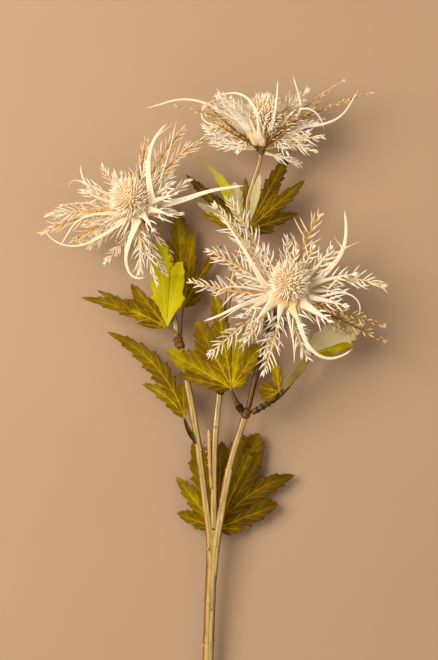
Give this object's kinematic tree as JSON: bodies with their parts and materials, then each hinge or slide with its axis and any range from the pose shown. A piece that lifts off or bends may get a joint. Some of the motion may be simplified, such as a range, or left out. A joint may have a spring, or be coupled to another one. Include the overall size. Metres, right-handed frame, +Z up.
{
  "type": "artificial sea holly spray",
  "caption": "Cream sea holly spray with spiny cones, comb-toothed bracts, curling straps and toothed olive leaves, lying on its side.",
  "frame": {"origin": "middle of the box's underside, on the table that the spray lies on", "axes": "+Y along the stem towards the flower heads, +Z up from the table, +X to the right of the stem seen from above with the heads at the top"},
  "size_m": [0.2206, 0.6181, 0.0594],
  "materials": {
    "stem": "moulded, slightly glossy, tan with a green side",
    "twig": "moulded, slightly glossy, dark brown",
    "leaf": "printed cloth, olive with yellow veins, sage underneath",
    "bract": "soft moulded, cream with tan ribs",
    "cone": "soft moulded, peach cream",
    "calyx": "soft moulded, brown"
  },
  "bodies": {
    "root": {"main_stem": "stem", "middle_branch": "stem", "right_branch": "stem", "left_branch": "stem", "left_collar": "twig", "right_collar": "twig", "top_collar": "twig", "left_twig": "twig", "top_twig": "twig", "centre_twig": "twig", "outer_twig": "twig", "inner_twig": "twig", "fork_leaf": "leaf", "left_low_leaf": "leaf", "left_mid_leaf": "leaf", "left_back_leaf": "leaf", "centre_leaf": "leaf", "top_right_leaf": "leaf", "top_left_leaf": "leaf", "outer_leaf": "leaf", "twig_leaf": "leaf", "left_head_bracts": "bract", "left_head_cone": "cone", "left_head_calyx": "calyx", "top_head_bracts": "bract", "top_head_cone": "cone", "top_head_calyx": "calyx", "right_head_bracts": "bract", "right_head_cone": "cone", "right_head_calyx": "calyx"}
  },
  "joints": []
}
